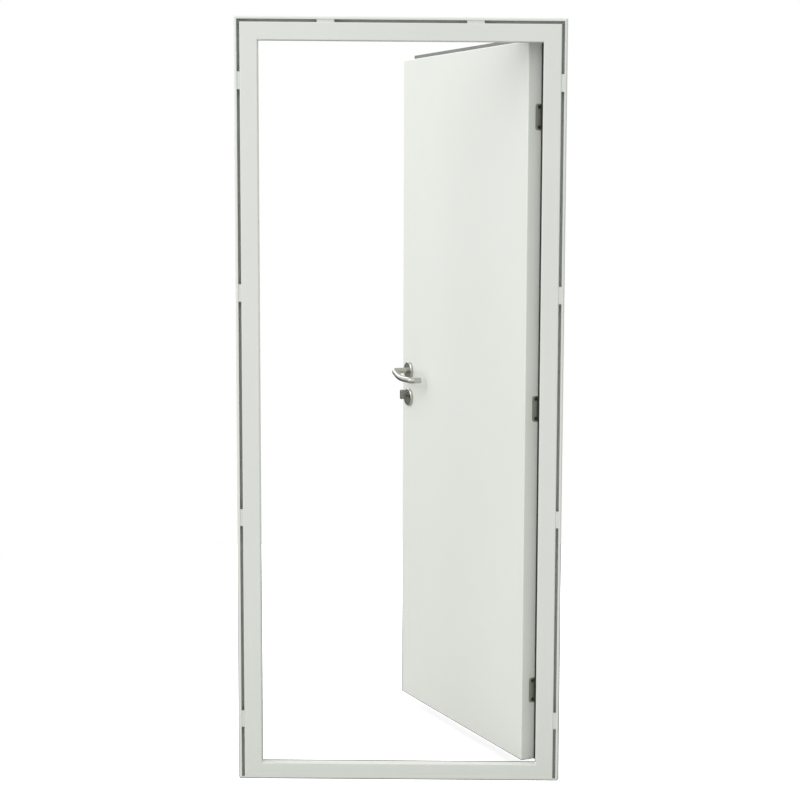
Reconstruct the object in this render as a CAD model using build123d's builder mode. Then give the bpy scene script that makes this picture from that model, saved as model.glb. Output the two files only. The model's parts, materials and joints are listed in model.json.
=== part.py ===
from build123d import *
import os

# Steel fire door: a flush leaf in a folded steel frame with a sill, standing open.
# X runs to the hinge side, Y to the side the leaf opens to, Z up. The origin is under the sill's middle.
# The leaf is drawn in its closed place and swung about the hinge pins by open_angle.

os.makedirs("parts", exist_ok=True)

# Frame
overall_width = 890
overall_height = 2090
frame_depth = 70
frame_sheet = 2
frame_bend = 3
lip_bend = 5
bend_count = 8
face_width = 48
groove_depth = 30
groove_width = 7.5
groove_floor_gap = 0.5
lip_width = 8
stop_depth = 26
rebate_step = 15
sill_face = 45
sill_step = 14
tie_length = 47
tie_end_margin = 170
tie_inner_reach = 308
head_tie_reach = 200
fixing_radius = 4.5
fixing_access_radius = 7
foot_thickness = 4
foot_recess = 3

# Seals
stop_seal_width = 10
stop_seal_thickness = 4.5
stop_seal_set_back = 1
flange_seal_width = 9
flange_seal_thickness = 4
flange_seal_margin = 1
seal_round = 1.5

# Leaf
leaf_gap = 5
flange_gap = 6
leaf_sheet = 1.5
leaf_bend = 2.5
flange_thickness = 4
flange_lock_side = 12.5
flange_hinge_side = 10.5
flange_top = 18
hem_round = 1.5
open_angle = 62

# Hinges
hinge_bottom_margin = 199
hinge_top_margin = 203
hinge_count = 3
hinge_sheet = 3
pin_radius = 5
pin_clearance = 0.05
pin_head_height = 2.5
pin_head_rim = 1.5
knuckle_wall = 3
knuckle_gap = 0.5
leaf_knuckle_height = 46
frame_knuckle_height = 30
hinge_plate_height = 72
hinge_plate_corner = 7
hinge_plate_inset = 23
hinge_hole_radius = 6
hinge_hole_reach = 27
hinge_far_offset = 9
frame_plate_width = 22
frame_plate_corner = 5
notch_margin = 6

# Lock and handles. The knob's height and thickness are at its neck, and it flares from there.
backset = 47
handle_height = 1042
cylinder_drop = 75
rose_drop = 84
rose_radius = 27
rose_height = 8
rose_chamfer = 2
turn_clearance = 0.3
spindle_side = 8
spindle_hole_radius = 11
lever_radius = 9
lever_droop = 10
lever_stand_off = 53
lever_bow = 60
lever_sag = 7
lever_reach = 118
lever_grip_end = 48
lever_return_end = 18
lever_elbow_bend = 11
lever_bow_bend = 120
lever_return_bend = 13
lever_end_chamfer = 1.5
plug_radius = 8.5
cylinder_web = 10
cylinder_height = 33
cylinder_proud = 2
knob_neck_radius = 7
knob_neck_length = 6
knob_length = 14
knob_height = 28
knob_thickness = 10
knob_flare = -6
knob_chamfer = 1.2
keyway_width = 2.5
keyway_height = 9
keyway_depth = 8
forend_width = 24
forend_height = 235
forend_corner = 5
forend_thickness = 3
strike_height = 170
strike_clearance = 0.1
bolt_width = 12
bolt_height = 30
bolt_depth = 26
bolt_clearance = 0.3

# Places that follow from the sizes
profile_width = face_width + groove_width + lip_width
fold_bends = [lip_bend] + (bend_count - 1) * [frame_bend]
clear_half = overall_width / 2 - profile_width
clear_top = overall_height - profile_width
near_y = -frame_depth / 2
far_y = frame_depth / 2
stop_y = near_y + stop_depth
rebate_half = clear_half + rebate_step
rebate_floor = sill_face - sill_step
fixing_y = (stop_y + far_y) / 2
frame_middle = overall_height / 2
tie_heights = [
    tie_end_margin,
    frame_middle - tie_inner_reach,
    frame_middle + tie_inner_reach,
    overall_height - tie_end_margin,
]
body_half = rebate_half - leaf_gap
body_low = rebate_floor + leaf_gap
body_top = clear_top + rebate_step - leaf_gap
body_height = body_top - body_low
body_middle = (body_top + body_low) / 2
leaf_near = stop_y + leaf_gap
flange_near = far_y + flange_gap
leaf_far = flange_near + flange_thickness
core_far = leaf_far - leaf_sheet
knuckle_radius = pin_radius + knuckle_wall
hinge_x = body_half - hinge_sheet + knuckle_radius
hinge_y = leaf_far + hinge_far_offset
hinge_pitch = (body_height - hinge_bottom_margin - hinge_top_margin) / (hinge_count - 1)
hinge_heights = [body_low + hinge_bottom_margin + i * hinge_pitch for i in range(hinge_count)]
hinge_half = leaf_knuckle_height / 2 + knuckle_gap + frame_knuckle_height
plate_near = leaf_near + hinge_plate_inset
plate_middle = (plate_near + core_far) / 2
handle_x = -body_half + backset
handle_z = body_low + handle_height
cylinder_z = handle_z - cylinder_drop
rose_z = handle_z - rose_drop
lock_y = (leaf_near + flange_near) / 2
forend_z = handle_z - cylinder_drop / 2

leaf_pose = Pos(hinge_x, hinge_y, 0) * Rot(0, 0, -open_angle) * Pos(-hinge_x, -hinge_y, 0)


def on_leaf(plane):
    return Plane(leaf_pose * plane.location)


def write(builder, name):
    builder.part.label = name
    export_step(builder.part, f"parts/{name}.step")


def folded_profile(place):
    # One sheet folded from the wall lip round the outside, the rebate, the stop and the near face
    # to the floor of the wall groove.
    corners = [
        (face_width + groove_width, 0),
        (profile_width, 0),
        (profile_width, frame_depth),
        (rebate_step, frame_depth),
        (rebate_step, stop_depth),
        (0, stop_depth),
        (0, 0),
        (face_width, 0),
        (face_width, groove_depth),
        (profile_width - 2 * frame_sheet - groove_floor_gap, groove_depth),
    ]
    return [place(outward, back) for outward, back in corners]


def hinge_plate_outline(height):
    with BuildSketch(on_leaf(Plane.YZ.offset(body_half))) as outline:
        with Locations((plate_middle, height)):
            RectangleRounded(core_far - plate_near, hinge_plate_height, hinge_plate_corner)
    return outline.sketch


# Jambs
for side, name in ((-1, "left_jamb"), (1, "right_jamb")):
    with BuildPart() as jamb:
        with BuildSketch(Plane.XY.offset(foot_recess)):
            with BuildLine():
                FilletPolyline(
                    *folded_profile(lambda u, v: (side * (clear_half + u), near_y + v)),
                    radius=fold_bends,
                )
                offset(amount=frame_sheet, side=Side.LEFT if side > 0 else Side.RIGHT)
            make_face()
        extrude(amount=overall_height - foot_recess)
        mitre = Plane((side * clear_half, 0, clear_top), z_dir=(-side, 0, 1))
        split(bisect_by=mitre, keep=Keep.BOTTOM)
        with BuildSketch(Plane.XY):
            with Locations((side * (overall_width / 2 - frame_sheet), near_y + frame_sheet)):
                Rectangle(
                    profile_width - 2 * frame_sheet,
                    stop_depth - 2 * frame_sheet,
                    align=(Align.MAX if side > 0 else Align.MIN, Align.MIN),
                )
        extrude(amount=foot_thickness)
        with BuildSketch(Plane.YZ.offset(side * overall_width / 2)):
            with Locations(*[(fixing_y, height) for height in tie_heights]):
                Circle(fixing_radius)
        extrude(amount=-side * 2 * frame_sheet, mode=Mode.SUBTRACT)
        with BuildSketch(Plane.YZ.offset(side * rebate_half)):
            with Locations(*[(fixing_y, height) for height in tie_heights]):
                Circle(fixing_access_radius)
        extrude(amount=side * 2 * frame_sheet, mode=Mode.SUBTRACT)
        if side < 0:
            with BuildSketch(Plane.YZ.offset(side * rebate_half)):
                with Locations((lock_y, forend_z)):
                    RectangleRounded(forend_width, strike_height, forend_corner)
            extrude(amount=side * frame_sheet, mode=Mode.SUBTRACT)
    write(jamb, name)

# Head
with BuildPart() as head:
    with BuildSketch(Plane.YZ):
        with BuildLine():
            FilletPolyline(
                *folded_profile(lambda u, v: (near_y + v, clear_top + u)),
                radius=fold_bends,
            )
            offset(amount=frame_sheet, side=Side.RIGHT)
        make_face()
    extrude(amount=overall_width / 2, both=True)
    for side in (-1, 1):
        mitre = Plane((side * clear_half, 0, clear_top), z_dir=(-side, 0, 1))
        split(bisect_by=mitre, keep=Keep.TOP)
    with BuildSketch(Plane.XY.offset(overall_height)):
        with Locations((-head_tie_reach, fixing_y), (head_tie_reach, fixing_y)):
            Circle(fixing_radius)
    extrude(amount=-2 * frame_sheet, mode=Mode.SUBTRACT)
    with BuildSketch(Plane.XY.offset(clear_top + rebate_step)):
        with Locations((-head_tie_reach, fixing_y), (head_tie_reach, fixing_y)):
            Circle(fixing_access_radius)
    extrude(amount=2 * frame_sheet, mode=Mode.SUBTRACT)
write(head, "head")

# Sill, a closed box whose front is coped between the jambs
with BuildPart() as sill:
    with BuildSketch(Plane.YZ) as sill_section:
        with BuildLine():
            Polyline(
                (near_y, 0),
                (near_y, sill_face),
                (stop_y, sill_face),
                (stop_y, rebate_floor),
                (far_y, rebate_floor),
                (far_y, 0),
                close=True,
            )
        make_face()
        fillet(sill_section.vertices(), radius=frame_bend)
        offset(amount=-frame_sheet, mode=Mode.SUBTRACT)
    extrude(amount=rebate_half, both=True)
    for side in (-1, 1):
        with BuildSketch(Plane.XY):
            with Locations((side * (clear_half + rebate_step / 2), (near_y + stop_y) / 2)):
                Rectangle(rebate_step, stop_depth)
            with Locations((side * rebate_half, stop_y)):
                Rectangle(2 * frame_bend, 2 * frame_bend)
        extrude(amount=sill_face, mode=Mode.SUBTRACT)
write(sill, "sill")

# Tie plates that bridge the wall groove and lap behind the flat of the lip
tie_width = groove_width + lip_width - lip_bend
tie_middle = clear_half + face_width + tie_width / 2
for side, side_name in ((-1, "left"), (1, "right")):
    for number, height in enumerate(tie_heights, 1):
        with BuildPart() as tie:
            with BuildSketch(Plane.XZ.offset(-near_y - frame_sheet)):
                with Locations((side * tie_middle, height)):
                    Rectangle(tie_width, tie_length)
            extrude(amount=-frame_sheet)
        write(tie, f"{side_name}_tie_plate_{number}")
for number, side in enumerate((-1, 1), 1):
    with BuildPart() as tie:
        with BuildSketch(Plane.XZ.offset(-near_y - frame_sheet)):
            with Locations((side * head_tie_reach, clear_top + face_width + tie_width / 2)):
                Rectangle(tie_length, tie_width)
        extrude(amount=-frame_sheet)
    write(tie, f"head_tie_plate_{number}")

# Seals on the back of the stop
seal_inner = clear_half + stop_seal_set_back
seal_outer = seal_inner + stop_seal_width
seal_low = sill_face - stop_seal_set_back
seal_high = clear_top + stop_seal_set_back
stop_seals = {
    "left_stop_seal": (-seal_outer, -seal_inner, seal_low, seal_high),
    "right_stop_seal": (seal_inner, seal_outer, seal_low, seal_high),
    "head_stop_seal": (-seal_outer, seal_outer, seal_high, seal_high + stop_seal_width),
    "sill_stop_seal": (-seal_outer, seal_outer, seal_low - stop_seal_width, seal_low),
}
for name, (left, right, low, high) in stop_seals.items():
    with BuildPart() as seal:
        with BuildSketch(Plane.XZ.offset(-stop_y)):
            with Locations(((left + right) / 2, (low + high) / 2)):
                Rectangle(right - left, high - low)
        extrude(amount=-stop_seal_thickness)
        fillet(seal.faces().sort_by(Axis.Y)[-1].edges(), radius=seal_round)
    write(seal, name)

# Strike plate, flush in the lock jamb's rebate
with BuildPart() as strike_plate:
    with BuildSketch(Plane.YZ.offset(-rebate_half)):
        with Locations((lock_y, forend_z)):
            RectangleRounded(
                forend_width - 2 * strike_clearance,
                strike_height - 2 * strike_clearance,
                forend_corner - strike_clearance,
            )
        with Locations((lock_y, handle_z), (lock_y, cylinder_z)):
            Rectangle(bolt_width + leaf_gap, bolt_height + leaf_gap, mode=Mode.SUBTRACT)
    extrude(amount=-frame_sheet)
write(strike_plate, "strike_plate")

# Leaf pan: the near sheet with its four edges folded back
with BuildPart() as pan:
    with BuildSketch(on_leaf(Plane.XZ.offset(-core_far))):
        with Locations((0, body_middle)):
            Rectangle(2 * body_half, body_height)
    extrude(amount=core_far - leaf_near)
    near_axis = Axis((0, 0, 0), on_leaf(Plane.XZ).z_dir)
    fillet(pan.faces().sort_by(near_axis)[-1].edges(), radius=leaf_bend)
    offset(amount=-leaf_sheet, openings=pan.faces().sort_by(near_axis)[0])
    with BuildSketch(on_leaf(Plane.XZ.offset(-leaf_near))):
        with Locations((handle_x, handle_z)):
            Circle(spindle_hole_radius)
        with Locations((handle_x, cylinder_z)):
            Circle(plug_radius)
        with Locations((handle_x, cylinder_z + plug_radius)):
            Rectangle(cylinder_web, cylinder_height, align=(Align.CENTER, Align.MAX))
    extrude(amount=-2 * leaf_sheet, mode=Mode.SUBTRACT)
    for height in hinge_heights:
        extrude(hinge_plate_outline(height), amount=-2 * leaf_sheet, mode=Mode.SUBTRACT)
    with BuildSketch(on_leaf(Plane.YZ.offset(-body_half))):
        with Locations((lock_y, forend_z)):
            RectangleRounded(forend_width, forend_height, forend_corner)
    extrude(amount=2 * leaf_sheet, mode=Mode.SUBTRACT)
write(pan, "leaf_near_pan")

# Leaf far sheet with its hemmed flange on the lock, top and hinge sides
flange_width = 2 * body_half + flange_lock_side + flange_hinge_side
flange_middle = (flange_hinge_side - flange_lock_side) / 2
notch_height = 2 * (hinge_half + notch_margin)
with BuildPart() as far_sheet:
    with BuildSketch(on_leaf(Plane.XZ.offset(-leaf_far))):
        with Locations((flange_middle, body_low)):
            Rectangle(flange_width, body_height + flange_top, align=(Align.CENTER, Align.MIN))
    extrude(amount=flange_thickness)
    far_axis = Axis((0, 0, 0), -on_leaf(Plane.XZ).z_dir)
    far_rim = far_sheet.faces().sort_by(far_axis)[-1].edges()
    fillet(far_rim.sort_by(Axis.Z)[1:], radius=hem_round)
    with BuildSketch(on_leaf(Plane.XZ.offset(-flange_near))):
        with Locations((0, body_middle)):
            Rectangle(2 * body_half, body_height)
    extrude(amount=-(flange_thickness - leaf_sheet), mode=Mode.SUBTRACT)
    with BuildSketch(on_leaf(Plane.XZ.offset(-leaf_far))):
        with Locations(*[(body_half, height) for height in hinge_heights]):
            Rectangle(
                flange_hinge_side, notch_height, align=(Align.MIN, Align.CENTER)
            )
        with Locations((handle_x, handle_z)):
            Circle(spindle_hole_radius)
        with Locations((handle_x, cylinder_z)):
            Circle(plug_radius)
        with Locations((handle_x, cylinder_z + plug_radius)):
            Rectangle(cylinder_web, cylinder_height, align=(Align.CENTER, Align.MAX))
    extrude(amount=flange_thickness, mode=Mode.SUBTRACT)
    with BuildSketch(on_leaf(Plane.XZ.offset(-leaf_far))):
        with Locations(*[(body_half - hinge_sheet, height) for height in hinge_heights]):
            Rectangle(hinge_sheet, leaf_knuckle_height, align=(Align.MIN, Align.CENTER))
    extrude(amount=flange_thickness, mode=Mode.SUBTRACT)
write(far_sheet, "leaf_far_sheet")

# Mineral wool core between the sheets
with BuildPart() as core:
    with BuildSketch(on_leaf(Plane.XZ.offset(-core_far))):
        with Locations((0, body_middle)):
            Rectangle(2 * (body_half - leaf_bend), body_height - 2 * leaf_bend)
        with Locations((handle_x, handle_z)):
            Circle(spindle_hole_radius, mode=Mode.SUBTRACT)
        with Locations((handle_x, cylinder_z)):
            Circle(plug_radius, mode=Mode.SUBTRACT)
        with Locations((handle_x, cylinder_z + plug_radius)):
            Rectangle(
                cylinder_web, cylinder_height, align=(Align.CENTER, Align.MAX), mode=Mode.SUBTRACT
            )
        with Locations((-body_half, forend_z)):
            Rectangle(
                bolt_depth + leaf_gap,
                forend_height,
                align=(Align.MIN, Align.CENTER),
                mode=Mode.SUBTRACT,
            )
        with Locations(*[(body_half, height) for height in hinge_heights]):
            Rectangle(
                hinge_sheet,
                hinge_plate_height,
                align=(Align.MAX, Align.CENTER),
                mode=Mode.SUBTRACT,
            )
    extrude(amount=core_far - leaf_near - leaf_sheet)
write(core, "leaf_core")

# Seals on the near side of the leaf's flange
flange_seal_half = body_half + flange_seal_width
flange_seal_top = body_top + flange_top - flange_seal_margin
flange_seals = {
    "lock_side_flange_seal": (-flange_seal_half, -body_half, body_low, body_top),
    "hinge_side_flange_seal": (body_half, flange_seal_half, body_low, body_top),
    "top_flange_seal": (-flange_seal_half, flange_seal_half, body_top, flange_seal_top),
}
for name, (left, right, low, high) in flange_seals.items():
    with BuildPart() as seal:
        with BuildSketch(on_leaf(Plane.XZ.offset(-flange_near))):
            with Locations(((left + right) / 2, (low + high) / 2)):
                Rectangle(right - left, high - low)
        extrude(amount=flange_seal_thickness)
    write(seal, name)

# Hinges: a plate let into the leaf's edge, a cranked plate on the frame's far face and a pin
for number, height in enumerate(hinge_heights, 1):
    with BuildPart() as leaf_plate:
        extrude(hinge_plate_outline(height), amount=-hinge_sheet)
        with BuildSketch(on_leaf(Plane.YZ.offset(body_half))):
            with Locations(*[(plate_middle, height + end * hinge_hole_reach) for end in (-1, 1)]):
                Circle(hinge_hole_radius)
        extrude(amount=-hinge_sheet, mode=Mode.SUBTRACT)
        with BuildSketch(on_leaf(Plane.XY.offset(height))):
            with Locations((body_half - hinge_sheet, core_far)):
                Rectangle(hinge_sheet, hinge_y - core_far, align=(Align.MIN, Align.MIN))
            with Locations((hinge_x, hinge_y)):
                Circle(knuckle_radius)
                Circle(pin_radius + pin_clearance, mode=Mode.SUBTRACT)
        extrude(amount=leaf_knuckle_height / 2, both=True)
    write(leaf_plate, f"hinge_leaf_plate_{number}")

    crank_y = hinge_y - knuckle_radius
    crank_x = hinge_x + knuckle_radius + flange_gap
    with BuildPart() as frame_plate:
        with BuildSketch(Plane.XY.offset(height)):
            with BuildLine():
                FilletPolyline(
                    (hinge_x, crank_y),
                    (crank_x, crank_y),
                    (crank_x + crank_y - far_y, far_y),
                    (crank_x + crank_y - far_y + frame_plate_width, far_y),
                    radius=hinge_sheet + frame_sheet,
                )
                offset(amount=hinge_sheet, side=Side.LEFT)
            make_face()
            with Locations((hinge_x, hinge_y)):
                Circle(knuckle_radius)
                Circle(pin_radius + pin_clearance, mode=Mode.SUBTRACT)
        extrude(amount=hinge_half, both=True)
        with BuildSketch(Plane.XZ.offset(-far_y)):
            with Locations((crank_x - hinge_sheet, height)):
                Rectangle(
                    crank_x - hinge_x + 2 * knuckle_radius,
                    leaf_knuckle_height + 2 * knuckle_gap,
                    align=(Align.MAX, Align.CENTER),
                )
        extrude(amount=-(hinge_y + knuckle_radius - far_y), mode=Mode.SUBTRACT)
        fillet(
            frame_plate.edges().filter_by(Axis.Y).sort_by(Axis.X)[-2:],
            radius=frame_plate_corner,
        )
    write(frame_plate, f"hinge_frame_plate_{number}")

    with BuildPart() as pin:
        with BuildSketch(Plane.XY.offset(height)):
            with Locations((hinge_x, hinge_y)):
                Circle(pin_radius)
        extrude(amount=hinge_half, both=True)
        for end in (-1, 1):
            with BuildSketch(Plane.XY.offset(height + end * hinge_half)):
                with Locations((hinge_x, hinge_y)):
                    Circle(pin_radius + pin_head_rim)
            extrude(amount=end * pin_head_height)
    write(pin, f"hinge_pin_{number}")

# Lock forend with the latch and the dead bolt drawn back flush
with BuildPart() as forend:
    with BuildSketch(on_leaf(Plane.YZ.offset(-body_half))):
        with Locations((lock_y, forend_z)):
            RectangleRounded(forend_width, forend_height, forend_corner)
        with Locations((lock_y, handle_z), (lock_y, cylinder_z)):
            Rectangle(
                bolt_width + 2 * bolt_clearance,
                bolt_height + 2 * bolt_clearance,
                mode=Mode.SUBTRACT,
            )
    extrude(amount=forend_thickness)
write(forend, "lock_forend")
for name, height in (("latch_bolt", handle_z), ("dead_bolt", cylinder_z)):
    with BuildPart() as bolt:
        with BuildSketch(on_leaf(Plane.YZ.offset(-body_half))):
            with Locations((lock_y, height)):
                Rectangle(bolt_width, bolt_height)
        extrude(amount=bolt_depth)
    write(bolt, name)

# Roses, levers and spindle. A face of the leaf is a plane whose normal points out of the leaf.
leaf_faces = {
    "near": Plane((0, leaf_near, 0), x_dir=(1, 0, 0), z_dir=(0, -1, 0)),
    "far": Plane((0, leaf_far, 0), x_dir=(-1, 0, 0), z_dir=(0, 1, 0)),
}
for face_name, face in leaf_faces.items():
    hand = face.x_dir.X
    for rose_name, height in (("handle_rose", handle_z), ("cylinder_rose", rose_z)):
        with BuildPart() as rose:
            with BuildSketch(on_leaf(face)):
                with Locations((hand * handle_x, height)):
                    Circle(rose_radius)
            extrude(amount=rose_height)
            out = Axis((0, 0, 0), on_leaf(face).z_dir)
            chamfer(rose.faces().sort_by(out)[-1].edges(), length=rose_chamfer)
            with BuildSketch(on_leaf(face)):
                if rose_name == "handle_rose":
                    with Locations((hand * handle_x, handle_z)):
                        Circle(lever_radius + turn_clearance)
                else:
                    with Locations((hand * handle_x, cylinder_z)):
                        Circle(plug_radius)
                    with Locations((hand * handle_x, cylinder_z + plug_radius)):
                        Rectangle(
                            cylinder_web, cylinder_height, align=(Align.CENTER, Align.MAX)
                        )
            extrude(amount=rose_height, mode=Mode.SUBTRACT)
        write(rose, f"{face_name}_{rose_name}")

    grip = Vector(1, 0, 0).rotate(Axis.Y, lever_droop)
    lever_plane = Plane(
        (handle_x, face.origin.Y, handle_z), x_dir=grip, z_dir=grip.cross(face.z_dir)
    )
    with BuildPart() as lever:
        with BuildLine(on_leaf(lever_plane)) as lever_path:
            FilletPolyline(
                (0, turn_clearance, 0),
                (0, lever_stand_off, 0),
                (lever_reach / 2, lever_bow, hand * lever_sag),
                (lever_reach, lever_grip_end, 0),
                (lever_reach, lever_return_end, 0),
                radius=[lever_elbow_bend, lever_bow_bend, lever_return_bend],
            )
        with BuildSketch(Plane(lever_path.line @ 0, z_dir=lever_path.line % 0)):
            Circle(lever_radius)
        sweep()
        lever_end = lever.faces().filter_by(GeomType.PLANE).sort_by_distance(lever_path.line @ 1)[0]
        chamfer(lever_end.edges(), length=lever_end_chamfer)
    write(lever, f"{face_name}_lever")

with BuildPart() as spindle:
    spindle_plane = on_leaf(leaf_faces["near"].offset(turn_clearance))
    with BuildSketch(spindle_plane):
        with Locations(Location((handle_x, handle_z), -lever_droop)):
            Rectangle(spindle_side, spindle_side)
    extrude(amount=-(leaf_far - leaf_near + 2 * turn_clearance))
write(spindle, "spindle")

# Lock cylinder and its thumb turn
with BuildPart() as cylinder:
    with BuildSketch(on_leaf(leaf_faces["near"].offset(rose_height + cylinder_proud))):
        with Locations((handle_x, cylinder_z)):
            Circle(plug_radius)
        with Locations((handle_x, cylinder_z + plug_radius)):
            Rectangle(cylinder_web, cylinder_height, align=(Align.CENTER, Align.MAX))
    extrude(amount=-(leaf_far - leaf_near + 2 * rose_height + 2 * cylinder_proud))
    with BuildSketch(on_leaf(leaf_faces["far"].offset(rose_height + cylinder_proud))):
        with Locations((-handle_x, cylinder_z)):
            Rectangle(keyway_width, keyway_height)
    extrude(amount=-keyway_depth, mode=Mode.SUBTRACT)
write(cylinder, "lock_cylinder")

knob_plane = leaf_faces["near"].offset(rose_height + cylinder_proud + turn_clearance)
with BuildPart() as thumb_turn:
    with BuildSketch(on_leaf(knob_plane)):
        with Locations((handle_x, cylinder_z)):
            Circle(knob_neck_radius)
    extrude(amount=knob_neck_length)
    with BuildSketch(on_leaf(knob_plane.offset(knob_neck_length))):
        with Locations((handle_x, cylinder_z)):
            SlotOverall(knob_height, knob_thickness, rotation=90)
    extrude(amount=knob_length, taper=knob_flare)
    out = Axis((0, 0, 0), on_leaf(knob_plane).z_dir)
    chamfer(thumb_turn.faces().sort_by(out)[-1].edges(), length=knob_chamfer)
write(thumb_turn, "thumb_turn")
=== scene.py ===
import json
import math
import bmesh
import bpy
from mathutils import Matrix, Vector


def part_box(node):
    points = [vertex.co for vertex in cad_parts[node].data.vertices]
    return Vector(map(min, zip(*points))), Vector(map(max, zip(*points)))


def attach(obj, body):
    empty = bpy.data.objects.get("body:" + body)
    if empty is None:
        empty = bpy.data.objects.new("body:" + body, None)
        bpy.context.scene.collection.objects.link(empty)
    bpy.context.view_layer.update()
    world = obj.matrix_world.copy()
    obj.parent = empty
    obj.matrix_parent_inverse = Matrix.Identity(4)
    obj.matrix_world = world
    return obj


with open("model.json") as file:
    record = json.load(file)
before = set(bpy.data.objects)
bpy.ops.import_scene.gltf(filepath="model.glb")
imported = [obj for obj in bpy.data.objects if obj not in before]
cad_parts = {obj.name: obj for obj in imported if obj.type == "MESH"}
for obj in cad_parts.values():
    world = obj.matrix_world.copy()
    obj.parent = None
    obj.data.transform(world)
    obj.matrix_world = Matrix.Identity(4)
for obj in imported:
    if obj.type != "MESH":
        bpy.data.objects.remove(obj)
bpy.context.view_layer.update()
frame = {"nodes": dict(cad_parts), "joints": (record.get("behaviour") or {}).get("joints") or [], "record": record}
nodes = frame["nodes"]
mm = 0.001
print("frame loaded,", len(nodes), "nodes")

# The leaf stands open, so its fittings are placed on the closed door and swung with it.
swing = next(joint for joint in frame["joints"] if joint["name"] == "leaf_swing")
pivot = Vector(swing["pos_m"])
openAngle = math.radians(-swing["range_deg"][0])
leafSwing = (
    Matrix.Translation(pivot)
    @ Matrix.Rotation(openAngle, 4, Vector(swing["axis"]))
    @ Matrix.Translation(-pivot)
)
fixedPlace = Matrix.Identity(4)


def closedBox(nodeName):  # corners of a leaf node with the door shut
    back = leafSwing.inverted()
    points = [back @ vertex.co for vertex in nodes[nodeName].data.vertices]
    low = Vector([min(point[axis] for point in points) for axis in range(3)])
    high = Vector([max(point[axis] for point in points) for axis in range(3)])
    return low, high


def linear(hexColour):
    channels = [int(hexColour[start:start + 2], 16) / 255 for start in (1, 3, 5)]
    bent = [c / 12.92 if c <= 0.04045 else ((c + 0.055) / 1.055) ** 2.4 for c in channels]
    return (*bent, 1.0)


def addNode(tree, kind, settings=None, values=None, links=None):
    node = tree.nodes.new(kind)
    for key, value in (settings or {}).items():
        setattr(node, key, value)
    for key, value in (values or {}).items():
        node.inputs[key].default_value = value
    for key, source in (links or {}).items():
        tree.links.new(source, node.inputs[key])
    return node


def startMaterial(name, metallic, ior):
    material = bpy.data.materials.new(name)
    material.use_nodes = True
    tree = material.node_tree
    shader = tree.nodes["Principled BSDF"]
    shader.inputs["Metallic"].default_value = metallic
    shader.inputs["IOR"].default_value = ior
    return material, tree, shader


# Where most values of a noise pattern lie
coatSpan = (0.3, 0.7)
grainSpan = (0.25, 0.75)


# Steel sheet with polyester powder, sprayed and baked: an even satin skin with a faint orange peel,
# over sheet that is never quite flat, so broad soft clouds of tone drift across it.
frameCoat = {
    "name": "polyesterPowderFrame",
    "colour": "#dbded8",
    "cloudColour": "#d5d8d2",
    "roughness": (0.40, 0.52),
    "cloudMm": 240,
    "peelMm": 4,  # real peel is about 1.5 mm, drawn coarser so that it shows
    "peelDepthMm": 0.02,
    "waveMm": 320,
    "waveDepthMm": 0.25,
}
# The leaf wears the frame's powder coat, drawn lighter as painted light for the extra light it catches
leafCoatPaintedLighter = {
    "name": "polyesterPowderLeafPaintedLighter",
    "colour": "#e5e7e2",
    "cloudColour": "#e0e2dc",
    "roughness": (0.34, 0.44),
    "cloudMm": 380,
    "peelMm": 4,
    "peelDepthMm": 0.015,
    "waveMm": 420,
    "waveDepthMm": 0.35,
}


def makePowderCoat(coat):
    material, tree, shader = startMaterial(coat["name"], metallic=0.0, ior=1.5)
    place = addNode(tree, "ShaderNodeTexCoord").outputs["Object"]
    cloud = addNode(
        tree, "ShaderNodeTexNoise",
        values={"Scale": 1 / (coat["cloudMm"] * mm), "Detail": 4.0, "Roughness": 0.55},
        links={"Vector": place},
    )
    tone = addNode(
        tree, "ShaderNodeMix", {"data_type": "RGBA"},
        {6: linear(coat["colour"]), 7: linear(coat["cloudColour"])},
        {0: cloud.outputs["Fac"]},
    )
    peel = addNode(
        tree, "ShaderNodeTexNoise",
        values={"Scale": 1 / (coat["peelMm"] * mm), "Detail": 2.0, "Roughness": 0.4},
        links={"Vector": place},
    )
    sheen = addNode(
        tree, "ShaderNodeMapRange",
        values={
            "From Min": coatSpan[0],
            "From Max": coatSpan[1],
            "To Min": coat["roughness"][0],
            "To Max": coat["roughness"][1],
        },
        links={"Value": peel.outputs["Fac"]},
    )
    wave = addNode(
        tree, "ShaderNodeTexNoise",
        values={"Scale": 1 / (coat["waveMm"] * mm), "Detail": 1.0},
        links={"Vector": place},
    )
    sheet = addNode(
        tree, "ShaderNodeBump",
        values={"Strength": 1.0, "Distance": coat["waveDepthMm"] * mm},
        links={"Height": wave.outputs["Fac"]},
    )
    skin = addNode(
        tree, "ShaderNodeBump",
        values={"Strength": 1.0, "Distance": coat["peelDepthMm"] * mm},
        links={"Height": peel.outputs["Fac"], "Normal": sheet.outputs["Normal"]},
    )
    tree.links.new(tone.outputs[2], shader.inputs["Base Color"])
    tree.links.new(sheen.outputs["Result"], shader.inputs["Roughness"])
    tree.links.new(skin.outputs["Normal"], shader.inputs["Normal"])
    return material


# Swelling fire strip and rubber, extruded: a dull grey skin with a fine grain
# and slightly paler rubbed spots.
sealStrip = {
    "name": "extrudedSealRubber",
    "colour": "#6f6f6c",
    "rubbedColour": "#888885",
    "roughness": (0.62, 0.8),
    "grainMm": 1.6,  # real grain is about 0.3 mm, drawn coarser so that it shows
    "grainDepthMm": 0.06,
    "rubMm": 45,
}
# The same rubber made near black as painted shade, standing in for the dark gap at the hinge side
gapShadeRubber = {
    "name": "extrudedRubberDarkForGapShade",
    "colour": "#242423",
    "rubbedColour": "#343433",
    "roughness": (0.55, 0.72),
    "grainMm": 1.6,
    "grainDepthMm": 0.06,
    "rubMm": 45,
}


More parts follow.
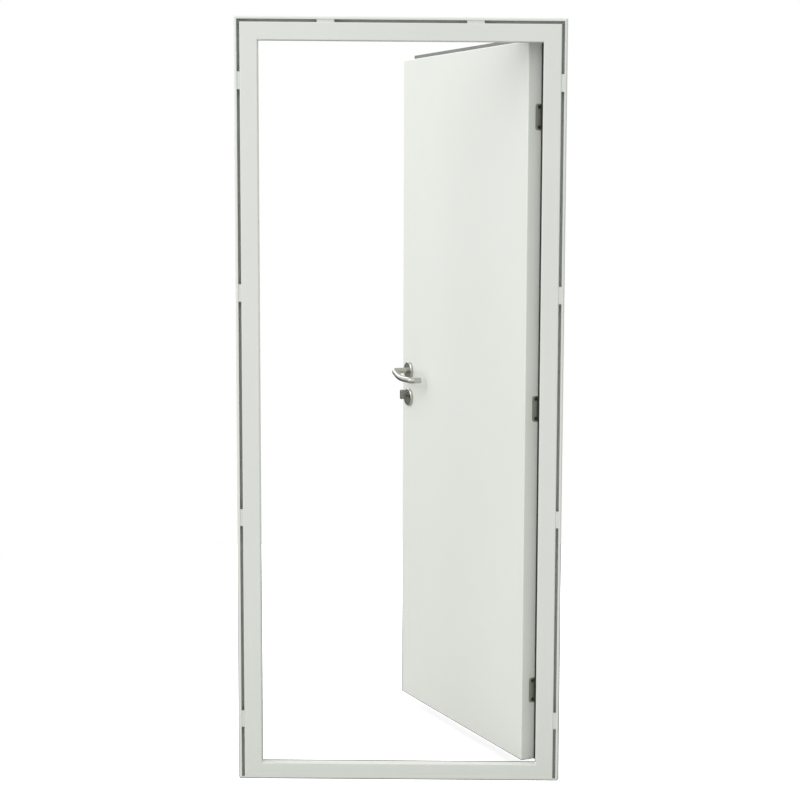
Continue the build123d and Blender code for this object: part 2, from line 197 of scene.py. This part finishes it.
def makeSealRubber(strip):
    material, tree, shader = startMaterial(strip["name"], metallic=0.0, ior=1.5)
    place = addNode(tree, "ShaderNodeTexCoord").outputs["Object"]
    grain = addNode(
        tree, "ShaderNodeTexNoise",
        values={"Scale": 1 / (strip["grainMm"] * mm), "Detail": 3.0, "Roughness": 0.6},
        links={"Vector": place},
    )
    rub = addNode(
        tree, "ShaderNodeTexNoise",
        values={"Scale": 1 / (strip["rubMm"] * mm), "Detail": 5.0, "Roughness": 0.65},
        links={"Vector": place},
    )
    tone = addNode(
        tree, "ShaderNodeMix", {"data_type": "RGBA"},
        {6: linear(strip["colour"]), 7: linear(strip["rubbedColour"])},
        {0: rub.outputs["Fac"]},
    )
    dull = addNode(
        tree, "ShaderNodeMapRange",
        values={
            "From Min": coatSpan[0],
            "From Max": coatSpan[1],
            "To Min": strip["roughness"][0],
            "To Max": strip["roughness"][1],
        },
        links={"Value": grain.outputs["Fac"]},
    )
    skin = addNode(
        tree, "ShaderNodeBump",
        values={"Strength": 1.0, "Distance": strip["grainDepthMm"] * mm},
        links={"Height": grain.outputs["Fac"]},
    )
    tree.links.new(tone.outputs[2], shader.inputs["Base Color"])
    tree.links.new(dull.outputs["Result"], shader.inputs["Roughness"])
    tree.links.new(skin.outputs["Normal"], shader.inputs["Normal"])
    return material


# Metals with a grain: each is ground or drawn one way, so fine lines streak the gloss along it,
# handling leaves soft duller patches, and painted shade darkens the screws' sockets and sunk heads.
hingeSteel = {
    "name": "zincPlatedHingeSteel",
    "colour": "#bcbdb3",
    "patchColour": "#97988e",
    "recessShadeColour": "#2e2d29",
    "roughness": (0.34, 0.56),
    "grainMm": (60, 1.2, 1.2),  # real lines are about 0.2 mm, drawn coarser so that they show
    "grainDepthMm": 0.02,
    "patchMm": 14,
    "along": "Z",
}
lockSteel = {
    "name": "zincPlatedLockSteel",
    "colour": "#c3c2bd",
    "patchColour": "#aeada7",
    "recessShadeColour": "#55534c",
    "roughness": (0.28, 0.42),
    "grainMm": (80, 1.2, 1.2),
    "grainDepthMm": 0.008,
    "patchMm": 40,
    "along": "Z",
}
stainless = {
    "name": "brushedStainlessSteel",
    "colour": "#c6c6bf",
    "patchColour": "#aaaaa3",
    "recessShadeColour": "#4c4b46",
    "roughness": (0.09, 0.18),
    "grainMm": (50, 0.9, 0.9),
    "grainDepthMm": 0.006,
    "patchMm": 25,
    "along": "X",
}
nickel = {
    "name": "satinNickelPlatedBrass",
    "colour": "#9c9c95",
    "patchColour": "#80807a",
    "recessShadeColour": "#45443f",
    "roughness": (0.24, 0.36),
    "grainMm": (30, 0.8, 0.8),
    "grainDepthMm": 0.006,
    "patchMm": 18,
    "along": "Z",
}


def makeGroundMetal(metal):
    material, tree, shader = startMaterial(metal["name"], metallic=1.0, ior=1.5)
    place = addNode(tree, "ShaderNodeTexCoord").outputs["Object"]
    length, width, height = (size * mm for size in metal["grainMm"])
    size = (length, width, height) if metal["along"] == "X" else (width, height, length)
    grainPlace = addNode(
        tree, "ShaderNodeMapping", {"vector_type": "TEXTURE"},
        {"Rotation": (0.0, 0.0, -openAngle), "Scale": size},
        {"Vector": place},
    )
    grain = addNode(
        tree, "ShaderNodeTexNoise",
        values={"Scale": 1.0, "Detail": 3.0, "Roughness": 0.6},
        links={"Vector": grainPlace.outputs["Vector"]},
    )
    patch = addNode(
        tree, "ShaderNodeTexNoise",
        values={"Scale": 1 / (metal["patchMm"] * mm), "Detail": 4.0, "Roughness": 0.6},
        links={"Vector": place},
    )
    tone = addNode(
        tree, "ShaderNodeMix", {"data_type": "RGBA"},
        {6: linear(metal["colour"]), 7: linear(metal["patchColour"])},
        {0: patch.outputs["Fac"]},
    )
    # Painted shade: a dark colour mixed in where a screw's rings carry it, in sockets, buried ends and heads
    recessShade = addNode(tree, "ShaderNodeAttribute", {"attribute_name": "recessShade"})
    shadedTone = addNode(
        tree, "ShaderNodeMix", {"data_type": "RGBA"},
        {7: linear(metal["recessShadeColour"])},
        {0: recessShade.outputs["Fac"], 6: tone.outputs[2]},
    )
    gloss = addNode(
        tree, "ShaderNodeMapRange",
        values={
            "From Min": grainSpan[0],
            "From Max": grainSpan[1],
            "To Min": metal["roughness"][0],
            "To Max": metal["roughness"][1],
        },
        links={"Value": grain.outputs["Fac"]},
    )
    lines = addNode(
        tree, "ShaderNodeBump",
        values={"Strength": 1.0, "Distance": metal["grainDepthMm"] * mm},
        links={"Height": grain.outputs["Fac"]},
    )
    tree.links.new(shadedTone.outputs[2], shader.inputs["Base Color"])
    tree.links.new(gloss.outputs["Result"], shader.inputs["Roughness"])
    tree.links.new(lines.outputs["Normal"], shader.inputs["Normal"])
    return material


# Mineral wool board, pressed: matted fibres that lie in the board's plane, greenish brown
# and quite without gloss.
woolBoard = {
    "name": "pressedMineralWool",
    "colour": "#a39a6c",
    "deepColour": "#6f683f",
    "roughness": 0.95,
    "fibreMm": (14, 1.5, 1.5),
    "fibreDepthMm": 0.8,
}


def makeMineralWool(wool):
    material, tree, shader = startMaterial(wool["name"], metallic=0.0, ior=1.45)
    shader.inputs["Roughness"].default_value = wool["roughness"]
    place = addNode(tree, "ShaderNodeTexCoord").outputs["Object"]
    fibrePlace = addNode(
        tree, "ShaderNodeMapping", {"vector_type": "TEXTURE"},
        {"Rotation": (0.0, 0.0, -openAngle), "Scale": [size * mm for size in wool["fibreMm"]]},
        {"Vector": place},
    )
    fibre = addNode(
        tree, "ShaderNodeTexNoise",
        values={"Scale": 1.0, "Detail": 6.0, "Roughness": 0.7, "Distortion": 1.5},
        links={"Vector": fibrePlace.outputs["Vector"]},
    )
    tone = addNode(
        tree, "ShaderNodeMix", {"data_type": "RGBA"},
        {6: linear(wool["deepColour"]), 7: linear(wool["colour"])},
        {0: fibre.outputs["Fac"]},
    )
    mat = addNode(
        tree, "ShaderNodeBump",
        values={"Strength": 1.0, "Distance": wool["fibreDepthMm"] * mm},
        links={"Height": fibre.outputs["Fac"]},
    )
    tree.links.new(tone.outputs[2], shader.inputs["Base Color"])
    tree.links.new(mat.outputs["Normal"], shader.inputs["Normal"])
    return material


slotMaterials = {
    "frame_coat": makePowderCoat(frameCoat),
    "leaf_coat": makePowderCoat(leafCoatPaintedLighter),
    "seal_rubber": makeSealRubber(sealStrip),
    "gasket_rubber": makeSealRubber(gapShadeRubber),
    "hinge_steel": makeGroundMetal(hingeSteel),
    "lock_steel": makeGroundMetal(lockSteel),
    "stainless": makeGroundMetal(stainless),
    "nickel": makeGroundMetal(nickel),
    "mineral_wool": makeMineralWool(woolBoard),
}
for subpart in frame["record"]["subparts"]:
    node = nodes[subpart["node"]]
    node.data.materials.clear()
    node.data.materials.append(slotMaterials[subpart["material_slot"]])
print("materials made,", len(slotMaterials), "finishes")


def addPiece(pieceName, mesh, body, slotName):
    data = bpy.data.meshes.new(pieceName)
    bmesh.ops.recalc_face_normals(mesh, faces=mesh.faces)
    mesh.to_mesh(data)
    mesh.free()
    piece = bpy.data.objects.new(pieceName, data)
    bpy.context.scene.collection.objects.link(piece)
    data.materials.append(slotMaterials[slotName])
    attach(piece, body)
    return piece


def facing(point, outward, swung):  # a place on a surface, its z axis pointing out of it
    turned = Vector(outward).to_track_quat("Z", "Y").to_matrix().to_4x4()
    return swung @ Matrix.Translation(Vector(point)) @ turned


# Rings from the buried end of a turned piece to the bottom of its socket, each a radius, a height,
# how deep its lobes are and how much painted shade lies on it.
screwLook = {
    "radiusMm": 4.0, "proudMm": 0.5, "buriedMm": 1.8,
    "socketMm": 1.7, "socketDeepMm": 1.3, "lobe": 0.16,
    "headShade": 0.1, "socketShade": 0.8,
}
# Sunk screws carry painted shade on their heads, for the hole they sit in
sunkLook = {
    "radiusMm": 5.2, "proudMm": 0.3, "buriedMm": 1.3,
    "socketMm": 2.6, "socketDeepMm": 1.3, "lobe": 0.12,
    "headShade": 0.55, "socketShade": 0.9,
}
grubLook = {
    "radiusMm": 2.5, "proudMm": 0.25, "buriedMm": 2.0,
    "socketMm": 1.3, "socketDeepMm": 1.2, "lobe": 0.1,
    "headShade": 0.1, "socketShade": 0.8,
}
capLook = {"radiusMm": 8.6, "proudMm": 1.3, "buriedMm": 1.5, "rimMm": 0.7, "domeMm": 0.35}
socketLobes = 6


def screwRings(look):
    radius, proud = look["radiusMm"], look["proudMm"]
    socket, lobe = look["socketMm"], look["lobe"]
    head, inside = look["headShade"], look["socketShade"]
    return [
        (radius * 0.6, -look["buriedMm"], 0.0, inside),  # buried end
        (radius, 0.0, 0.0, inside),  # where the head meets the plate
        (radius, proud * 0.5, 0.0, head),
        (radius - proud * 0.6, proud, 0.0, head),  # rounded edge of the head
        (socket * 1.15, proud * 1.1, lobe, head),
        (socket, proud * 0.9, lobe, inside),  # mouth of the socket
        (socket * 0.85, proud - look["socketDeepMm"], lobe, inside),  # its bottom
    ]


def capRings(look):
    radius, proud = look["radiusMm"], look["proudMm"]
    return [
        (radius * 0.75, -look["buriedMm"], 0.0, 0.0),  # plug in the hole
        (radius * 0.75, 0.0, 0.0, 0.0),
        (radius, 0.0, 0.0, 0.0),  # rim on the sheet
        (radius, proud - look["rimMm"], 0.0, 0.0),
        (radius - look["rimMm"] * 0.35, proud - look["rimMm"] * 0.3, 0.0, 0.0),
        (radius - look["rimMm"], proud, 0.0, 0.0),
        (radius * 0.45, proud + look["domeMm"] * 0.8, 0.0, 0.0),  # low dome
        (radius * 0.12, proud + look["domeMm"], 0.0, 0.0),
    ]


def skinLoops(mesh, loops):  # walls between following loops, with both ends closed
    count = len(loops[0])
    for lower, upper in zip(loops, loops[1:]):
        for step in range(count):
            after = (step + 1) % count
            mesh.faces.new((lower[step], lower[after], upper[after], upper[step]))
    mesh.faces.new(list(reversed(loops[0])))
    mesh.faces.new(loops[-1])


def addTurned(pieceName, body, slotName, places, rings, sides=36):
    mesh = bmesh.new()
    recessShadeLayer = mesh.verts.layers.float.new("recessShade")
    for place in places:
        loops = []
        for radius, height, lobe, recessShade in rings:
            loop = []
            for step in range(sides):
                angle = 2 * math.pi * step / sides
                reach = radius * mm * (1 + lobe * math.cos(socketLobes * angle))
                spot = Vector((reach * math.cos(angle), reach * math.sin(angle), height * mm))
                vertex = mesh.verts.new(place @ spot)
                vertex[recessShadeLayer] = recessShade
                loop.append(vertex)
            loops.append(loop)
        skinLoops(mesh, loops)
    return addPiece(pieceName, mesh, body, slotName)


# Screws in the hinges' two plates
hingeScrews = {
    "sunkMm": 1.6,
    "leafReachMm": 27,
    "frameInsetMm": 10,
    "frameReachMm": (12, 34),
    "plateMm": 3,
}
panHigh = closedBox("leaf_near_pan")[1]
for number in (1, 2, 3):
    low, high = closedBox(f"hinge_leaf_plate_{number}")
    middle = (low.z + high.z) / 2
    spot = (panHigh.x - hingeScrews["sunkMm"] * mm, (low.y + panHigh.y) / 2)
    places = [
        facing((*spot, middle + end * hingeScrews["leafReachMm"] * mm), (1, 0, 0), leafSwing)
        for end in (-1, 1)
    ]
    addTurned(f"hinge_leaf_screws_{number}", "leaf", "hinge_steel", places, screwRings(sunkLook))
    low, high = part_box(f"hinge_frame_plate_{number}")
    middle = (low.z + high.z) / 2
    spot = (high.x - hingeScrews["frameInsetMm"] * mm, low.y + hingeScrews["plateMm"] * mm)
    places = [
        facing((*spot, middle + end * reach * mm), (0, 1, 0), fixedPlace)
        for reach in hingeScrews["frameReachMm"] for end in (-1, 1)
    ]
    addTurned(f"hinge_frame_screws_{number}", "frame", "hinge_steel", places, screwRings(screwLook))
print("hinge screws added")

# Screws in the lock's forend and in the strike plate
lockScrews = {"forendInsetMm": 11, "cylinderDropMm": 26, "strikeInsetMm": 8}
low, high = closedBox("lock_forend")
boltLow, boltHigh = closedBox("dead_bolt")
inset = lockScrews["forendInsetMm"] * mm
cylinderScrewZ = (boltLow.z + boltHigh.z) / 2 - lockScrews["cylinderDropMm"] * mm
places = [
    facing((low.x, (low.y + high.y) / 2, height), (-1, 0, 0), leafSwing)
    for height in (low.z + inset, cylinderScrewZ, high.z - inset)
]
addTurned("forend_screws", "leaf", "lock_steel", places, screwRings(screwLook))
low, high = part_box("strike_plate")
inset = lockScrews["strikeInsetMm"] * mm
places = [
    facing((high.x, (low.y + high.y) / 2, height), (1, 0, 0), fixedPlace)
    for height in (low.z + inset, high.z - inset)
]
addTurned("strike_screws", "frame", "lock_steel", places, screwRings(screwLook))
print("lock screws added")

# Caps in the holes of the rebate, behind which the wall anchors sit
frameFolds = {"rebateStepMm": 15, "bendMm": 3}
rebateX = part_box("strike_plate")[1].x
headLow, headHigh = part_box("head")
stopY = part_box("head_stop_seal")[0].y
fixingY = (stopY + headHigh.y) / 2
for side, end in (("left", 1), ("right", -1)):
    places = []
    for number in (1, 2, 3, 4):
        low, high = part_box(f"{side}_tie_plate_{number}")
        spot = (end * rebateX, fixingY, (low.z + high.z) / 2)
        places.append(facing(spot, (end, 0, 0), fixedPlace))
    addTurned(f"{side}_fixing_caps", "frame", "frame_coat", places, capRings(capLook))
places = []
rebateZ = headLow.z + frameFolds["rebateStepMm"] * mm
for number in (1, 2):
    low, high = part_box(f"head_tie_plate_{number}")
    places.append(facing(((low.x + high.x) / 2, fixingY, rebateZ), (0, 0, -1), fixedPlace))
addTurned("head_fixing_caps", "frame", "frame_coat", places, capRings(capLook))
print("fixing caps added")

# Ground welds that fill the bend beside each end of the sill, so jamb and sill read as one face
weldLook = {"startMm": 3.2, "runOutMm": 0.2, "arcSteps": 8, "topSteps": 6}
bend = frameFolds["bendMm"] * mm
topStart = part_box("sill")[1].z - bend
for side, end in (("left", -1), ("right", 1)):
    jambLow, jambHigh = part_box(f"{side}_jamb")
    corner = jambHigh.x if end < 0 else jambLow.x
    levels = [(weldLook["startMm"] * mm, 0.0)]
    for step in range(weldLook["topSteps"] + 1):
        rise = (bend - weldLook["runOutMm"] * mm) * step / weldLook["topSteps"]
        levels.append((topStart + rise, bend - math.sqrt(bend * bend - rise * rise)))
    mesh = bmesh.new()
    loops = []
    for height, setBack in levels:
        outline = [(0.0, bend), (0.0, setBack)]
        for step in range(weldLook["arcSteps"] + 1):
            back = setBack + (bend - setBack) * step / weldLook["arcSteps"]
            outline.append((bend - math.sqrt(max(bend * bend - (bend - back) ** 2, 0.0)), back))
        loops.append([
            mesh.verts.new((corner + end * across, jambLow.y + back, height))
            for across, back in outline[:-1]
        ])
    skinLoops(mesh, loops)
    addPiece(f"{side}_sill_weld", mesh, "frame", "frame_coat")
print("sill welds added")

# Grub screws that hold the levers on their spindle, under each neck
leverScrews = {"fromRoseMm": 5, "neckRadiusMm": 9}
places = []
for face, outward in (("near", -1), ("far", 1)):
    low, high = closedBox(f"{face}_handle_rose")
    roseFace = low.y if outward < 0 else high.y
    spot = (
        (low.x + high.x) / 2,
        roseFace + outward * leverScrews["fromRoseMm"] * mm,
        (low.z + high.z) / 2 - leverScrews["neckRadiusMm"] * mm,
    )
    places.append(facing(spot, (0, 0, -1), leafSwing))
addTurned("lever_grub_screws", "lever_pair", "stainless", places, screwRings(grubLook))
print("lever screws added")

# Pale seamless paper, thinner and thinner away from the door
paperLook = {
    "colour": "#b0b0ac",
    "roughness": 0.9,
    "dropMm": 0.5,
    "reach": 3.4,
    "sides": 96,
    "fade": (1.2, 3.2),
    "thin": 0.2,
    "toothMm": 3,
    "toothDepthMm": 0.05,
    "toothStrength": 0.3,
}


def makePaper(look):
    material, tree, shader = startMaterial("seamlessPaper", metallic=0.0, ior=1.45)
    shader.inputs["Base Color"].default_value = linear(look["colour"])
    shader.inputs["Roughness"].default_value = look["roughness"]
    place = addNode(tree, "ShaderNodeTexCoord").outputs["Object"]
    tooth = addNode(
        tree, "ShaderNodeTexNoise",
        values={"Scale": 1 / (look["toothMm"] * mm), "Detail": 2.0},
        links={"Vector": place},
    )
    skin = addNode(
        tree, "ShaderNodeBump",
        values={"Strength": look["toothStrength"], "Distance": look["toothDepthMm"] * mm},
        links={"Height": tooth.outputs["Fac"]},
    )
    tree.links.new(skin.outputs["Normal"], shader.inputs["Normal"])
    away = addNode(tree, "ShaderNodeVectorMath", {"operation": "LENGTH"}, links={0: place})
    fade = addNode(
        tree, "ShaderNodeMapRange", {"interpolation_type": "SMOOTHSTEP"},
        {"From Min": look["fade"][0], "From Max": look["fade"][1], "To Min": look["thin"]},
        {"Value": away.outputs["Value"]},
    )
    clear = addNode(tree, "ShaderNodeBsdfTransparent")
    mix = addNode(
        tree, "ShaderNodeMixShader",
        links={0: fade.outputs["Result"], 1: shader.outputs["BSDF"], 2: clear.outputs["BSDF"]},
    )
    tree.links.new(mix.outputs["Shader"], tree.nodes["Material Output"].inputs["Surface"])
    return material


mesh = bmesh.new()
bmesh.ops.create_circle(
    mesh, cap_ends=True, segments=paperLook["sides"], radius=paperLook["reach"],
)
paperData = bpy.data.meshes.new("studioPaper")
mesh.to_mesh(paperData)
mesh.free()
paperData.materials.append(makePaper(paperLook))
paper = bpy.data.objects.new("studioPaper", paperData)
paper.location.z = -paperLook["dropMm"] * mm
paper.is_shadow_catcher = True  # the ground stays white, only the shadow falls on it
bpy.context.scene.collection.objects.link(paper)
print("paper laid")

# Soft room light that grows towards the upper left, in front, and falls off below the horizon
roomLook = {
    "toLight": (-0.40, -0.64, 0.66),
    "litFrom": (-0.75, 1.0),
    "dark": 0.26,
    "bright": 1.35,
    "floorFrom": (-0.4, -0.12),
    "floorShade": 0.6,
}
# A white wall behind the door, a high window at the left whose light runs along the levers,
# and a dark corner below it that their undersides mirror
whiteWall = {
    "towards": (0.0, 1.0, 0.0),
    "edge": (0.75, 0.92),
    "foot": (-0.24, -0.1),
    "bright": 0.9,
}
highWindow = {
    "towards": (-0.57, 0.7, 0.42),
    "edge": (0.88, 0.96),
    "foot": (0.26, 0.38),
    "bright": 2.3,
}
darkCorner = {"towards": (-0.6, 0.6, -0.53), "edge": (0.82, 0.94), "keep": 0.12}

world = bpy.data.worlds.new("studioRoom")
bpy.context.scene.world = world
world.use_nodes = True
room = world.node_tree
room.nodes.clear()
direction = addNode(room, "ShaderNodeTexCoord").outputs["Generated"]
upward = addNode(room, "ShaderNodeSeparateXYZ", links={0: direction}).outputs["Z"]


def easeTowards(side, edge, ends, links=None):  # light that eases between two values towards a side
    facingSide = addNode(
        room, "ShaderNodeVectorMath", {"operation": "DOT_PRODUCT"},
        {1: Vector(side).normalized()},
        {0: direction},
    )
    eased = addNode(
        room, "ShaderNodeMapRange", {"interpolation_type": "SMOOTHSTEP"},
        {"From Min": edge[0], "From Max": edge[1], "To Min": ends[0], "To Max": ends[1]},
        {"Value": facingSide.outputs["Value"], **(links or {})},
    )
    return eased.outputs["Result"]


strength = easeTowards(
    roomLook["toLight"], roomLook["litFrom"], (roomLook["dark"], roomLook["bright"]),
)
for zone in (whiteWall, highWindow):
    foot = addNode(
        room, "ShaderNodeMapRange", {"interpolation_type": "SMOOTHSTEP"},
        {"From Min": zone["foot"][0], "From Max": zone["foot"][1], "To Max": zone["bright"]},
        {"Value": upward},
    )
    glow = easeTowards(
        zone["towards"], zone["edge"], (0.0, zone["bright"]), {"To Max": foot.outputs["Result"]},
    )
    larger = addNode(
        room, "ShaderNodeMath", {"operation": "MAXIMUM"}, links={0: strength, 1: glow},
    )
    strength = larger.outputs["Value"]
floorDim = addNode(
    room, "ShaderNodeMapRange", {"interpolation_type": "SMOOTHSTEP"},
    {
        "From Min": roomLook["floorFrom"][0],
        "From Max": roomLook["floorFrom"][1],
        "To Min": roomLook["floorShade"],
    },
    {"Value": upward},
).outputs["Result"]
cornerDim = easeTowards(darkCorner["towards"], darkCorner["edge"], (1.0, darkCorner["keep"]))
for dim in (floorDim, cornerDim):
    dimmed = addNode(
        room, "ShaderNodeMath", {"operation": "MULTIPLY"}, links={0: strength, 1: dim},
    )
    strength = dimmed.outputs["Value"]
white = linear("#ffffff")
roomLight = addNode(
    room, "ShaderNodeBackground", values={"Color": white}, links={"Strength": strength},
)
backdrop = addNode(room, "ShaderNodeBackground", values={"Color": white, "Strength": 1.0})
seen = addNode(room, "ShaderNodeLightPath").outputs["Is Camera Ray"]
roomMix = addNode(
    room, "ShaderNodeMixShader",
    links={0: seen, 1: roomLight.outputs[0], 2: backdrop.outputs[0]},
)
addNode(room, "ShaderNodeOutputWorld", links={"Surface": roomMix.outputs[0]})

# A softbox at the upper left that brightens the leaf's top
softbox = {"place": (-2.1, -0.5, 2.7), "aim": (0.1, 0.6, 1.5), "size": 1.6, "power": 15.0}
keyData = bpy.data.lights.new("keySoftbox", "AREA")
keyData.energy = softbox["power"]
keyData.size = softbox["size"]
key = bpy.data.objects.new("keySoftbox", keyData)
key.location = softbox["place"]
aim = Vector(softbox["aim"]) - Vector(softbox["place"])
key.rotation_euler = aim.to_track_quat("-Z", "Y").to_euler()
bpy.context.scene.collection.objects.link(key)
bpy.context.scene.view_settings.view_transform = "Standard"
print("studio lit")

# The photograph's view
viewpoint = {
    "place": (0.21557, -4.70561, 1.59771),
    "yaw": -0.00068,
    "pitch": -0.1131,
    "roll": -0.00803,
    "lens": 77.704,
    "sensor": 36.0,
    "shift": -0.1,
}
cameraData = bpy.data.cameras.new("photoCamera")
cameraData.lens = viewpoint["lens"]
cameraData.sensor_width = viewpoint["sensor"]
cameraData.shift_x = viewpoint["shift"]
camera = bpy.data.objects.new("photoCamera", cameraData)
camera.matrix_world = (
    Matrix.Translation(viewpoint["place"])
    @ Matrix.Rotation(viewpoint["yaw"], 4, "Z")
    @ Matrix.Rotation(viewpoint["pitch"], 4, "X")
    @ Matrix.Rotation(viewpoint["roll"], 4, "Y")
    @ Matrix.Rotation(math.pi / 2, 4, "X")
)
bpy.context.scene.collection.objects.link(camera)
bpy.context.scene.camera = camera
print("camera set")
